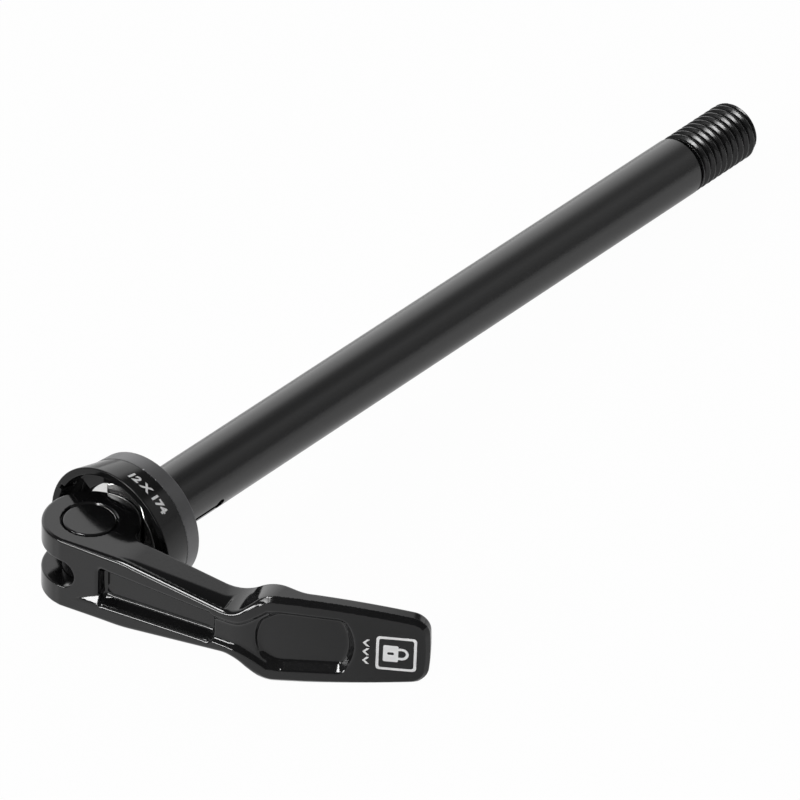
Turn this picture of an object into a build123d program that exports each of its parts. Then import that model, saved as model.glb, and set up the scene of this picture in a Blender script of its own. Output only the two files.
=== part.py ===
from build123d import *
import math
import os

os.makedirs("parts", exist_ok=True)

# Axle shaft: +X runs from the seat face of the end ring to the threaded tip
axle_diameter = 11.95
axle_length = 174.0
thread_length = 18.0
thread_drop = 0.045
relief_width = 0.6
relief_depth = 0.2
collar_step = 0.8
tip_chamfer = 0.9
bore_chamfer = 0.3

# End ring: a conical cup round the cam
ring_depth = 10.06
ring_front_r = 14.15
ring_band = 3.4
ring_shoulder_r = 12.8
ring_back_r = 12.57
ring_floor = 2.4
ring_edge = 0.25
rim_depth = 3.06
rim_width = 1.5
rim_draft = 0.45
saddle_bore_r = 9.5
pocket_half_angle = 36.0
pocket_depth = 2.8
notch_angle = 26.0
notch_width = 1.2

# Clearances
pivot_clearance = 0.05
cam_clearance = 0.08
saddle_clearance = 0.1
rod_clearance = 0.1
cone_clearance = 0.08
wedge_gap = 0.3
spring_gap = 0.08
tip_clearance = 0.1

# Rod, barrel and the stack that the cam pushes into the shaft
rod_r = 2.5
rod_chamfer = 0.3
rod_grip = 3.36
barrel_r = 4.8
barrel_chamfer = 0.25
saddle_floor = 1.87
saddle_horn = 4.1
saddle_flat = 1.6
saddle_flat_y = 3.7
seat_opening = 1.0
washer_thickness = 0.8
washer_r = 8.2
wedge_head_r = 7.4
wedge_head = 0.9
wedge_end_x = 8.0
cone_r = 4.8
cone_half_angle = 3.5

# Keyhole slits of the expanding end
slit_width = 0.9
slit_start_x = 1.5
slit_hole_x = 13.8
slit_hole_r = 1.1
slit_angle = 23.0

# Inside of the shaft
spring_bore_r = 4.25
spring_room = 11.5
spring_wire_width = 0.9
spring_wire_height = 0.8
spring_turns = 5
main_bore_r = 3.3
web_length = 4.0
tip_bore_r = 4.0
tip_bore_depth = 10.0
sleeve_start_x = 60.0
sleeve_length = 60.0

# Adjuster in the tip
adjuster_washer_thickness = 0.8
adjuster_length = 8.0
adjuster_chamfer = 0.4
hex_across = 2.5
hex_depth = 2.6
hex_floor = 0.8
seal_half = 0.5
seal_bevel = 0.15
seal_groove_depth = 0.95
seal_groove_room = 0.05

# Cam and ears of the lever
cam_reach = 9.3
cam_lift = 1.0
open_angle = 175.0
ear_half = 7.3
ear_slot = 5.4
slot_end_y = -0.4
ear_hole_chamfer = 0.45
heel_r = 2.5
ear_flat = 0.1
ear_corner_r = 1.5

# Arm and paddle of the lever
arm_thickness = 7.5
arm_lean = 10.54
arm_run = 35.33
paddle_lean = 34.0
paddle_run = 34.19
paddle_thickness = 3.25
bend_r = 9.5
inner_bend_r = 6.0
edge_bevel = 0.75
tip_corner_r = 3.2

# Half heights along the lever
taper_start = 12.8
taper_r = 30.0
neck_half = 4.4
neck_ahead = 1.13
neck_r = 4.5
flare_half = 9.25
flare_past = 3.97
flare_r = 3.5
tip_half = 6.5
paddle_bulge = 0.66

# Pocket in the arm, thumb recess in the paddle, flutes at the neck
arm_pocket_start = 6.65
arm_pocket_land = 5.38
arm_pocket_half = 4.15
arm_pocket_end_half = 3.25
arm_pocket_r = 1.1
arm_pocket_depth = 2.45
arm_pocket_inset = 1.2
channel_half = 3.0
channel_floor_half = 1.9
channel_depth = 0.8
channel_overlap = 1.0
thumb_start = 1.94
thumb_start_half = 3.4
thumb_shoulder = 6.74
thumb_half = 6.5
thumb_land = 13.25
thumb_end_half = 6.0
thumb_r = 2.4
thumb_depth = 1.7
thumb_draft = 32.0
flute_lip = 1.0
flute_start = 12.6
flute_land = 2.73
flute_width = 3.6
flute_depth = 1.3
flute_r = 2.0

# Radii and places that follow from the sizes above
axle_r = axle_diameter / 2
thread_r = axle_r - thread_drop
collar_r = axle_r + collar_step
rim_inner_r = ring_front_r - rim_width
rim_root_r = rim_inner_r - rim_draft
shelf_x = rim_depth - ring_depth
saddle_r = saddle_bore_r - saddle_clearance
saddle_back_x = -(ring_floor + wedge_gap + wedge_head + washer_thickness)
pivot_x = saddle_back_x - saddle_floor - cam_clearance - cam_reach
taper_end_x = wedge_end_x + spring_gap
spring_end_x = taper_end_x + spring_room
web_end_x = axle_length - tip_bore_depth
web_start_x = web_end_x - web_length
adjuster_r = tip_bore_r - tip_clearance
adjuster_x = web_end_x + adjuster_washer_thickness
adjuster_end_x = adjuster_x + adjuster_length
rod_start_x = pivot_x - rod_grip
rod_end_x = adjuster_end_x - hex_depth - hex_floor

arm_front = cam_reach - cam_lift - ear_flat


# Lines of the lever seen along the pivot
def heading(angle):
    return Vector(math.cos(math.radians(angle)), math.sin(math.radians(angle)), 0)


pivot = Vector(pivot_x, 0, 0)
arm_out = heading(180 + arm_lean)
arm_along = heading(arm_lean - 90)
paddle_out = heading(paddle_lean - 180)
paddle_along = heading(paddle_lean - 90)
bend = pivot + arm_out * arm_front + arm_along * arm_run
tip = bend + paddle_along * paddle_run


def turned(points):
    # Solid of revolution about the axle from (x, radius) points
    return revolve(make_face(Polyline(*points, close=True)), Axis.X)


def bar(x0, x1, radius):
    # Round bar along the axle
    return Pos((x0 + x1) / 2, 0, 0) * Rot(0, 90, 0) * Cylinder(radius, x1 - x0)


def cone_at(x):
    # Radius of the wedge cone along the axle
    return cone_r - (x + ring_floor) * math.tan(math.radians(cone_half_angle))


def make_axle_shaft():
    start = -ring_floor
    thread_x = axle_length - thread_length
    relief_r = axle_r - relief_depth
    body = turned([
        (start, collar_r),
        (0, collar_r),
        (0, axle_r),
        (thread_x - relief_width, axle_r),
        (thread_x - relief_width, relief_r),
        (thread_x, relief_r),
        (thread_x, thread_r),
        (axle_length - tip_chamfer, thread_r),
        (axle_length, thread_r - tip_chamfer),
        (axle_length, tip_bore_r + bore_chamfer),
        (axle_length - bore_chamfer, tip_bore_r),
        (web_end_x, tip_bore_r),
        (web_end_x, rod_r + 2 * rod_clearance),
        (web_start_x, rod_r + 2 * rod_clearance),
        (web_start_x, main_bore_r),
        (spring_end_x, main_bore_r),
        (spring_end_x, spring_bore_r),
        (taper_end_x, spring_bore_r),
        (taper_end_x, cone_at(taper_end_x) + cone_clearance),
        (start, cone_at(start) + cone_clearance),
    ])
    # Two keyhole slits opposite each other
    length = slit_hole_x - slit_start_x
    slit = Pos(slit_start_x + length / 2, 0, 0) * Box(length, 4 * axle_r, slit_width)
    eye = Pos(slit_hole_x, 0, 0) * Rot(90, 0, 0) * Cylinder(slit_hole_r, 4 * axle_r)
    return body - Rot(slit_angle, 0, 0) * (slit + eye)


def make_end_ring():
    body = turned([
        (0, collar_r),
        (0, ring_back_r - ring_edge),
        (-ring_edge, ring_back_r),
        (-ring_band, ring_shoulder_r),
        (ring_edge - ring_depth, ring_front_r),
        (-ring_depth, ring_front_r - ring_edge),
        (-ring_depth, rim_inner_r),
        (shelf_x, rim_root_r),
        (shelf_x, saddle_bore_r),
        (-ring_floor, saddle_bore_r),
        (-ring_floor, collar_r),
    ])
    # Deeper pocket in the shelf, on the side away from the closed lever
    sector = bar(shelf_x - rim_depth / 2, shelf_x + pocket_depth, rim_root_r)
    reach = 2 * ring_front_r
    spread = reach * math.tan(math.radians(pocket_half_angle))
    fan = make_face(Polyline((0, 0), (reach, -spread), (reach, spread), close=True))
    fan = Pos(-ring_depth, 0, 0) * extrude(Plane.YZ * fan, ring_depth)
    # Small notch through the rim
    notch = Pos(shelf_x - rim_depth, rim_inner_r + rim_width / 2, 0)
    notch = notch * Box(2 * rim_depth, 3 * rim_width, notch_width)
    return body - (sector & fan) - Rot(notch_angle, 0, 0) * notch


def make_cam_saddle():
    # Concave seat, shallower than the cam so that the cam rolls on it freely
    seat_r = cam_reach + cam_clearance + seat_opening
    disc = bar(saddle_back_x - saddle_horn, saddle_back_x, saddle_r)
    seat = Pos(pivot_x - seat_opening, 0, 0) * Cylinder(seat_r, 4 * saddle_r)
    side = Pos(saddle_back_x - saddle_flat - saddle_r, saddle_flat_y + saddle_r, 0)
    side = side * Box(2 * saddle_r, 2 * saddle_r, 4 * saddle_r)
    return disc - seat - side - bar(pivot_x, 0, rod_r + rod_clearance)


def make_thrust_washer():
    end = saddle_back_x + washer_thickness
    return bar(saddle_back_x, end, washer_r) - bar(pivot_x, 0, rod_r + rod_clearance)


def make_expander_wedge():
    head_x = saddle_back_x + washer_thickness
    neck_x = head_x + wedge_head
    return turned([
        (head_x, rod_r + rod_clearance),
        (head_x, wedge_head_r),
        (neck_x, wedge_head_r),
        (neck_x, cone_at(neck_x)),
        (wedge_end_x, cone_at(wedge_end_x)),
        (wedge_end_x, rod_r + rod_clearance),
    ])


def make_return_spring():
    coil_r = (rod_r + rod_clearance + spring_bore_r) / 2
    room = spring_wire_height / 2 + spring_gap
    start = wedge_end_x + room
    height = spring_end_x - room - start
    path = Helix(height / spring_turns, height, coil_r)
    wire = Plane(origin=path @ 0, x_dir=(1, 0, 0), z_dir=path % 0)
    wire = wire * Rectangle(spring_wire_width, spring_wire_height)
    coil = sweep(wire, path=path, is_frenet=True)
    return Pos(start, 0, 0) * Rot(0, 90, 0) * coil


def make_draw_rod():
    return chamfer(bar(rod_start_x, rod_end_x, rod_r).edges(), rod_chamfer)


def make_pivot_barrel():
    barrel = Cylinder(barrel_r, 2 * ear_half)
    barrel = chamfer(barrel.edges().filter_by(GeomType.CIRCLE), barrel_chamfer)
    return Pos(pivot_x, 0, 0) * barrel - bar(rod_start_x, 0, rod_r)


def make_rod_sleeve():
    end = sleeve_start_x + sleeve_length
    return bar(sleeve_start_x, end, main_bore_r) - bar(0, end, rod_r + rod_clearance)


def make_adjuster_washer():
    return bar(web_end_x, adjuster_x, adjuster_r) - bar(0, adjuster_x, rod_r + rod_clearance)


def make_tension_adjuster():
    groove_x = adjuster_x + adjuster_length / 2
    half_groove = seal_half + seal_groove_room
    groove_r = adjuster_r - seal_groove_depth
    body = turned([
        (adjuster_x, 0),
        (adjuster_x, adjuster_r),
        (groove_x - half_groove, adjuster_r),
        (groove_x - half_groove, groove_r),
        (groove_x + half_groove, groove_r),
        (groove_x + half_groove, adjuster_r),
        (adjuster_end_x - adjuster_chamfer, adjuster_r),
        (adjuster_end_x, adjuster_r - adjuster_chamfer),
        (adjuster_end_x, 0),
    ])
    socket = RegularPolygon(hex_across / 2, 6, major_radius=False)
    socket = Pos(adjuster_end_x - hex_depth, 0, 0) * extrude(Plane.YZ * socket, hex_depth)
    return body - bar(0, rod_end_x + rod_clearance, rod_r + rod_clearance / 2) - socket


def make_adjuster_seal():
    # Square ring in the groove, with bevelled edges
    middle = adjuster_x + adjuster_length / 2
    ring_r = adjuster_r - seal_groove_depth + seal_half
    section = Rectangle(2 * seal_half, 2 * seal_half)
    section = chamfer(section.vertices(), seal_bevel)
    return revolve(Pos(middle, ring_r) * section, Axis.X)


def cam_radius(angle):
    return cam_reach - cam_lift * max(angle, 0) / open_angle


def lever_plan():
    # Where the cam runs into the front of the arm
    meet = 180.0
    for step in range(30):
        meet = 180 + arm_lean - math.degrees(math.acos(arm_front / cam_radius(meet)))
    # Where the heel of the cam runs into the inner side of the arm
    heel = math.degrees(math.acos((arm_front - arm_thickness) / cam_reach)) + arm_lean - 180
    # Inner corner of the bend
    turn = math.radians(paddle_lean - arm_lean)
    back = (paddle_thickness - arm_thickness * math.cos(turn)) / math.sin(turn)
    bend_in = bend - arm_out * arm_thickness - arm_along * back
    tip_in = tip - paddle_out * paddle_thickness
    cam = Spline([pivot + heading(meet * i / 8) * cam_radius(meet * i / 8) for i in range(9)])
    round_heel = ThreePointArc(
        pivot + heading(heel) * cam_reach,
        pivot + heading(heel / 2) * cam_reach,
        pivot + heading(0) * cam_reach,
    )
    rest = Polyline(cam @ 1, bend, tip, tip_in, bend_in, round_heel @ 0)
    plan = make_face([round_heel, cam, rest])
    for point, radius in [
        (bend, bend_r),
        (bend_in, inner_bend_r),
        (round_heel @ 0, heel_r),
        (cam @ 1, ear_corner_r),
    ]:
        plan = fillet(plan.vertices().sort_by_distance(point)[0], radius)
    return plan


def lever_side():
    # Half heights along the lever: ears, tapering arm, neck, flared paddle
    ear = Vector(2 * cam_reach, ear_half)
    taper = Vector(-taper_start, ear_half)
    neck = Vector(bend.Y + neck_ahead, neck_half)
    flare = Vector(bend.Y - flare_past, flare_half)
    slope = (flare_half - tip_half) / (flare.X - tip.Y)
    end = Vector(tip.Y - tip_corner_r, tip_half - slope * tip_corner_r - paddle_bulge / 3)
    mid = (flare + end) / 2 + Vector(0, paddle_bulge)
    top = [Line(ear, taper), Line(taper, neck), Line(neck, flare), ThreePointArc(flare, mid, end)]
    low = [mirror(line, about=Plane.XZ) for line in top]
    ends = [Line(point, (point.X, -point.Y)) for point in (ear, end)]
    side = make_face(top + low + ends)
    for point, radius in [(taper, taper_r), (neck, neck_r), (flare, flare_r)]:
        for corner in (point, Vector(point.X, -point.Y)):
            side = fillet(side.vertices().sort_by_distance(corner)[0], radius)
    return side


def arm_pocket():
    # Lightening pocket in the front of the arm, its long walls leaning outwards
    end = arm_run - arm_pocket_land
    levels = []
    for depth, inset in [(0, 0), (arm_pocket_depth, arm_pocket_inset)]:
        face = Plane(origin=pivot + arm_out * (arm_front - depth), x_dir=arm_along, z_dir=arm_out)
        levels.append(face * make_face(Polyline(
            (arm_pocket_start, inset - arm_pocket_half),
            (end, inset - arm_pocket_end_half),
            (end, arm_pocket_end_half - inset),
            (arm_pocket_start, arm_pocket_half - inset),
            close=True,
        )))
    pocket = loft(levels, ruled=True)
    corners = [e for e in pocket.edges() if abs((e @ 0 - e @ 1).dot(arm_out)) > arm_pocket_depth / 2]
    return fillet(corners, arm_pocket_r)


def channel_run(origin, along, out, start, end):
    # One straight stretch of the shallow channel, open to the front
    lean = (channel_half - channel_floor_half) / channel_depth
    top = channel_half + lean * channel_depth
    section = make_face(Polyline(
        (-channel_depth, -channel_floor_half),
        (channel_depth, -top),
        (channel_depth, top),
        (-channel_depth, channel_floor_half),
        close=True,
    ))
    face = Plane(origin=origin + along * start, x_dir=out, z_dir=out.cross(Vector(0, 0, 1)))
    amount = end - start
    return extrude(face * section, amount if face.z_dir.dot(along) > 0 else -amount)


def bend_channel():
    # Shallow channel over the bend that joins the pocket and the thumb recess
    arm = channel_run(bend, arm_along, arm_out, -arm_pocket_land - channel_depth, channel_overlap)
    pad = channel_run(bend, paddle_along, paddle_out, -channel_overlap, thumb_start + 2 * channel_depth)
    return arm + pad


def thumb_recess():
    end = paddle_run - thumb_land
    half = [
        (thumb_start, thumb_start_half),
        (thumb_shoulder, thumb_half),
        (end, thumb_end_half),
    ]
    outline = make_face(Polyline(*half, *[(x, -y) for x, y in reversed(half)], close=True))
    outline = fillet(outline.vertices(), thumb_r)
    face = Plane(origin=bend, x_dir=paddle_along, z_dir=paddle_out)
    return extrude(face * outline, -thumb_depth, taper=thumb_draft)


def arm_half(along):
    # Half height of the tapering arm
    neck_y = -bend.Y - neck_ahead
    return ear_half - (ear_half - neck_half) * (along - taper_start) / (neck_y - taper_start)


def neck_flute():
    # Flute in the top of the arm behind a thin front lip, deepest at the neck
    front = pivot + arm_out * (arm_front - flute_lip)
    stop = arm_run - flute_land
    start = front + arm_along * flute_start
    end = front + arm_along * stop
    corner = end - arm_out * flute_width
    back = (start + end) / 2 - arm_out * flute_width
    outline = make_face(Polyline(start, end, corner, back, close=True))
    outline = fillet(outline.vertices().sort_by_distance(corner)[0], flute_r)
    top = Vector(0, 0, arm_half(stop))
    a = start + Vector(0, 0, ear_half)
    b = end + top - Vector(0, 0, flute_depth)
    c = corner + top
    floor = Plane(origin=a, x_dir=b - a, z_dir=(b - a).cross(c - a))
    keep = Keep.TOP if floor.z_dir.Z > 0 else Keep.BOTTOM
    return split(extrude(outline, 2 * ear_half), bisect_by=floor, keep=keep)


def front_depth(point):
    # How far a point lies outside the front of arm and paddle, negative inside
    return max((point - bend).dot(arm_out), (point - bend).dot(paddle_out))


def is_front(edge):
    on_face = min(front_depth(edge @ t) for t in (0, 0.5, 1)) > -0.05 * bend_r
    return on_face and (abs(edge.center().Z) > 1 or (edge.center() - tip).length < 1)


def make_lever():
    height = 2 * flare_half
    plan = Pos(0, 0, -height) * extrude(lever_plan(), 2 * height)
    width = arm_run + paddle_run
    side = Pos(-2 * width, 0, 0) * extrude(Plane.YZ * lever_side(), 3 * width)
    body = plan & side
    end = [e for e in body.edges() if abs((e.center() - tip).dot(paddle_along)) < 0.1]
    body = fillet([e for e in end if abs(e.center().Z) > tip_half / 2], tip_corner_r)
    # The edges of front, ears and back follow each other smoothly, so one bevel runs round them all
    body = chamfer(body.edges().filter_by(is_front), edge_bevel)
    # Slot between the ears for the rod, and the bore for the barrel
    reach = 3 * cam_reach
    slot = Pos(pivot_x, slot_end_y + reach / 2, 0) * Box(reach, reach, ear_slot)
    slot += Pos(pivot_x, slot_end_y, 0) * Rot(0, 90, 0) * Cylinder(ear_slot / 2, reach)
    hole_r = barrel_r + pivot_clearance
    hole = Cylinder(hole_r, 4 * ear_half)
    rim = Cone(hole_r, hole_r + ear_hole_chamfer, ear_hole_chamfer)
    rim = Pos(0, 0, ear_half - ear_hole_chamfer / 2) * rim
    hole = Pos(pivot_x, 0, 0) * (hole + rim + mirror(rim, about=Plane.XY))
    flute = neck_flute()
    body = body - slot - hole - arm_pocket() - bend_channel() - thumb_recess()
    return body - flute - mirror(flute, about=Plane.XY)


def save(node, shape):
    shape.label = node
    print(node, round(shape.volume, 1), shape.is_valid, len(shape.solids()))
    export_step(shape, "parts/" + node + ".step")


save("axle_shaft", make_axle_shaft())
save("end_ring", make_end_ring())
save("cam_saddle", make_cam_saddle())
save("thrust_washer", make_thrust_washer())
save("expander_wedge", make_expander_wedge())
save("return_spring", make_return_spring())
save("draw_rod", make_draw_rod())
save("pivot_barrel", make_pivot_barrel())
save("rod_sleeve", make_rod_sleeve())
save("adjuster_washer", make_adjuster_washer())
save("tension_adjuster", make_tension_adjuster())
save("adjuster_seal", make_adjuster_seal())
save("lever", make_lever())
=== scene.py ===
import math
import bmesh
import bpy
import numpy as np
from mathutils import Matrix, Vector


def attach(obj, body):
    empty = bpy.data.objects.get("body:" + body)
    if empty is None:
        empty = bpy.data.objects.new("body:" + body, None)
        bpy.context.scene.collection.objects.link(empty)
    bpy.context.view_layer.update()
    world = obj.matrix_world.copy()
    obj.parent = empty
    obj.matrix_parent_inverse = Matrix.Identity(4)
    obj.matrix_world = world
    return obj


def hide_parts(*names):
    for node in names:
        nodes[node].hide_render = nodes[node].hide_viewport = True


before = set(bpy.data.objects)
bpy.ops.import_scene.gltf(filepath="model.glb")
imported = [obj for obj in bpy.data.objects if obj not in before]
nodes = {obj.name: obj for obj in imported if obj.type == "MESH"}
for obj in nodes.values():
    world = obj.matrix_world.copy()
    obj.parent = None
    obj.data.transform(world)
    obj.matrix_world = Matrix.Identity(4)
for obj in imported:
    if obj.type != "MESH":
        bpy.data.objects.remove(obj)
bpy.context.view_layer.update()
mm = 0.001
slant = math.sqrt(0.5)  # sine and cosine of 45 degrees
chamferCos = 0.7  # cosine between a face and its chamfer
print("frame loaded:", len(nodes), "solids")


# Distance fields, in millimetres: negative inside, and cosine is that of the angle between the two normals
def roundMax(a, b, radius, cosine=0.0):
    # what the two shapes share, with a round of this radius on the edge where they meet
    a = a + radius
    b = b + radius
    corner = np.sqrt(np.maximum(a * a + b * b - 2 * cosine * a * b, 0) / (1 - cosine * cosine))
    return np.where((a > cosine * b) & (b > cosine * a), corner, np.maximum(a, b)) - radius


def roundMin(a, b, radius, cosine=0.0):
    # either shape, with a fillet of this radius in the corner between them
    return -roundMax(-a, -b, radius, cosine)


def smoothStep(value, low, high):
    t = np.clip((value - low) / (high - low), 0, 1)
    return t * t * (3 - 2 * t)


def heading(angle):
    return np.array([math.cos(math.radians(angle)), math.sin(math.radians(angle))])


# How nets are laid on fields: each pass pulls a point this share of the way to the middle of its neighbours
netting = {"reach": 0.01, "leastSlope": 0.05, "rounds": 3, "passes": 2, "passRounds": 2, "pull": 0.4}


def slope(field, points):
    reach = netting["reach"]
    columns = []
    for axis in range(3):
        step = np.zeros(3)
        step[axis] = reach
        ahead = field(*(points + step).T)
        behind = field(*(points - step).T)
        columns.append((ahead - behind) / (2 * reach))
    return np.stack(columns, 1)


def settle(field, points, rounds, limit):
    # slides points along the slope onto the surface
    for turn in range(rounds):
        direction = slope(field, points)
        size = np.maximum((direction ** 2).sum(1), netting["leastSlope"])
        move = direction * (field(*points.T) / size)[:, None]
        length = np.sqrt((move ** 2).sum(1))
        points = points - move * np.minimum(1, limit / np.maximum(length, 1e-9))[:, None]
    return points


def netQuads(inside, cellIndex):
    # one quad round each grid edge that crosses the surface
    quads = []
    for axis in range(3):
        start = np.moveaxis(inside, axis, 0)
        cells = np.moveaxis(cellIndex, axis, 0)
        if axis == 1:
            start = np.swapaxes(start, 1, 2)
            cells = np.swapaxes(cells, 1, 2)
        a, b = start[:-1, 1:-1, 1:-1], start[1:, 1:-1, 1:-1]
        i, j, k = np.nonzero(a != b)
        loop = np.stack([cells[i, j, k], cells[i, j + 1, k], cells[i, j + 1, k + 1], cells[i, j, k + 1]], 1)
        outward = a[i, j, k]
        quads.append(np.where(outward[:, None], loop, loop[:, ::-1]))
    return np.concatenate(quads)


def netMesh(name, field, low, high, step):
    counts = [int(math.ceil((b - a) / step)) + 1 for a, b in zip(low, high)]
    axes = [a + step * np.arange(n) for a, n in zip(low, counts)]
    values = field(*np.meshgrid(*axes, indexing="ij", sparse=True))
    values = np.broadcast_to(values, counts)
    inside = values < 0
    total = np.zeros([n - 1 for n in counts], np.int8)
    corners = [(i, j, k) for i in (0, 1) for j in (0, 1) for k in (0, 1)]
    for i, j, k in corners:
        total += inside[i:counts[0] - 1 + i, j:counts[1] - 1 + j, k:counts[2] - 1 + k]
    cells = np.argwhere((total > 0) & (total < 8))
    cellIndex = np.full(total.shape, -1, np.int32)
    cellIndex[tuple(cells.T)] = np.arange(len(cells))
    # each cell's point starts at the middle of its crossings
    middle = np.zeros((len(cells), 3))
    crossings = np.zeros(len(cells))
    for first in corners:
        for axis in range(3):
            if first[axis]:
                continue
            second = list(first)
            second[axis] = 1
            va = values[tuple((cells + first).T)]
            vb = values[tuple((cells + second).T)]
            hit = (va < 0) != (vb < 0)
            share = np.where(hit, va / np.where(hit, va - vb, 1), 0)
            spot = np.tile(np.array(first, float), (len(cells), 1))
            spot[:, axis] = share
            middle += spot * hit[:, None]
            crossings += hit
    points = np.array(low) + step * (cells + middle / crossings[:, None])
    quads = netQuads(inside, cellIndex)
    points = settle(field, points, netting["rounds"], step)
    # evens out the net along the surface
    pairs = np.concatenate([quads[:, [n, (n + 1) % 4]] for n in range(4)])
    pairs = np.concatenate([pairs, pairs[:, ::-1]])
    neighbours = np.bincount(pairs[:, 0], minlength=len(points))[:, None]
    for turn in range(netting["passes"]):
        around = np.stack([
            np.bincount(pairs[:, 0], points[pairs[:, 1], axis], len(points)) for axis in range(3)
        ], 1) / neighbours
        moved = points + netting["pull"] * (around - points)
        points = settle(field, moved, netting["passRounds"], step)
    normals = slope(field, points)
    normals /= np.sqrt((normals ** 2).sum(1))[:, None]
    mesh = bpy.data.meshes.new(name)
    mesh.from_pydata((points * mm).tolist(), [], quads.tolist())
    mesh.shade_smooth()
    mesh.normals_split_custom_set_from_vertices(normals.tolist())
    print(name, len(quads), "quads")
    return mesh


def newObject(name, data):
    piece = bpy.data.objects.new(name, data)
    bpy.context.scene.collection.objects.link(piece)
    return piece


def evaluatedMesh(piece):
    return bpy.data.meshes.new_from_object(piece.evaluated_get(bpy.context.evaluated_depsgraph_get()))


def faceOutward(mesh):
    work = bmesh.new()
    work.from_mesh(mesh)
    bmesh.ops.recalc_face_normals(work, faces=work.faces)
    work.to_mesh(mesh)
    work.free()


def place(name, mesh, body, material, slotName, *stands):
    piece = newObject(name, mesh)
    mesh.materials.clear()
    mesh.materials.append(material)
    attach(piece, body)
    if stands:
        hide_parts(*stands)


class Wire:
    # one shader socket: sums and products of wires add Math nodes
    def __init__(self, tree, socket=None):
        self.tree = tree
        self.socket = socket

    def add(self, kind, settings=None, values=None, out=0):
        node = self.tree.nodes.new("ShaderNode" + kind)
        for key, value in (settings or {}).items():
            if key == "stops":
                ramp = node.color_ramp.elements
                while len(ramp) < len(value):
                    ramp.new(0.5)
                for stop, (position, tone) in zip(ramp, value):
                    stop.position = position
                    stop.color = (tone, tone, tone, 1)
            else:
                setattr(node, key, value)
        for key, value in (values or {}).items():
            if isinstance(value, Wire):
                self.tree.links.new(value.socket, node.inputs[key])
            else:
                node.inputs[key].default_value = value
        return Wire(self.tree, node.outputs[out] if len(node.outputs) else None)

    def math(self, operation, a, b):
        return self.add("Math", {"operation": operation}, {0: a, 1: b})

    def __add__(self, other):
        return self.math("ADD", self, other)

    def __sub__(self, other):
        return self.math("SUBTRACT", self, other)

    def __rsub__(self, other):
        return self.math("SUBTRACT", other, self)

    def __mul__(self, other):
        return self.math("MULTIPLY", self, other)

    def __lt__(self, other):
        return self.math("LESS_THAN", self, other)

    def __gt__(self, other):
        return self.math("GREATER_THAN", self, other)

    __radd__ = __add__
    __rmul__ = __mul__

    # the nodes that most finishes use
    def noise(self, point, scale, detail=2.0, stretch=None):
        if stretch:
            point = self.add("VectorMath", {"operation": "MULTIPLY"}, {0: point, 1: stretch})
        return self.add("TexNoise", {}, {"Vector": point, "Scale": scale, "Detail": detail})

    def ramp(self, value, stops):
        return self.add("ValToRGB", {"stops": stops}, {"Fac": value})

    def tint(self, factor, dark, light):
        settings = {"data_type": "RGBA"}
        return self.add("Mix", settings, {0: factor, 6: (*dark, 1), 7: (*light, 1)}, out=2)

    def bump(self, height, distance, strength=1.0):
        values = {"Height": height, "Distance": distance * mm, "Strength": strength}
        return self.add("Bump", {}, values)


def finish(name, paint):
    # a Principled material whose sockets come from paint(wire, point in millimetres)
    material = bpy.data.materials.new(name)
    material.use_nodes = True
    material.node_tree.nodes.clear()
    wire = Wire(material.node_tree)
    point = wire.add("TexCoord", out="Object")
    point = wire.add("VectorMath", {"operation": "SCALE"}, {0: point, "Scale": 1 / mm})
    shader = wire.add("BsdfPrincipled", {}, paint(wire, point))
    wire.add("OutputMaterial", {}, {"Surface": shader})
    return material


def dust(wire, point, scale, size, patch=0.31, least=0.62):
    # sparse specks: few of the cells carry one
    cell = wire.add("TexVoronoi", {}, {"Vector": point, "Scale": scale}, out="Distance")
    chance = wire.noise(point, patch, 1.0)
    return (cell < size * scale) * (chance > least)


# Finishes
def paintLever(wire, point):
    cloud = wire.noise(point, 0.16, 3.0)
    haze = wire.noise(point, 2.1, 4.0)
    peel = wire.noise(point, 1.5, 1.0)
    speck = dust(wire, point, 0.42, 0.09)
    colour = wire.tint(cloud * 0.7 + speck * 0.3, (0.0035, 0.0035, 0.0038), (0.0085, 0.0085, 0.009))
    return {
        "Base Color": colour,
        "Roughness": 0.06 + cloud * 0.05 + haze * 0.03 + speck * 0.4,
        "IOR": 1.5,
        "Normal": wire.bump(peel, 0.004),
    }


def paintRing(wire, point):
    # gloss cone, and a satin turned band beside the seat face
    bandStart = -3.45
    blast = wire.noise(point, 9.0, 2.0)
    cloud = wire.noise(point, 0.2, 3.0)
    turning = wire.noise(point, 1.0, 3.0, stretch=(8.0, 0.3, 0.3))
    speck = dust(wire, point, 0.5, 0.08)
    band = wire.add("SeparateXYZ", {}, {0: point}, out="X") > bandStart
    black = cloud * 0.005 + speck * 0.005 + 0.004
    satin = cloud * 0.02 + turning * 0.03 + 0.115
    return {
        "Base Color": wire.tint(black + (satin - black) * band, (0, 0, 0), (1, 1, 1.02)),
        "Metallic": band,
        "Roughness": 0.07 + cloud * 0.06 + blast * 0.03 + band * 0.25,
        "IOR": 1.3,
        "Normal": wire.bump(blast * 0.7 + turning * band * 0.5, 0.004),
    }


def paintShaft(wire, point):
    blast = wire.noise(point, 7.0, 2.0)
    turning = wire.noise(point, 1.0, 3.0, stretch=(9.0, 0.35, 0.35))
    drawn = wire.noise(point, 1.0, 2.0, stretch=(0.05, 1.6, 1.6))
    speck = dust(wire, point, 0.45, 0.08)
    colour = wire.tint(drawn * 0.8 + speck, (0.005, 0.005, 0.0052), (0.010, 0.010, 0.0104))
    return {
        "Base Color": colour,
        "Roughness": 0.17 + drawn * 0.06 + turning * 0.04,
        "IOR": 1.64,
        "Normal": wire.bump(blast * 0.6 + turning * 0.4, 0.004),
    }


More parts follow.
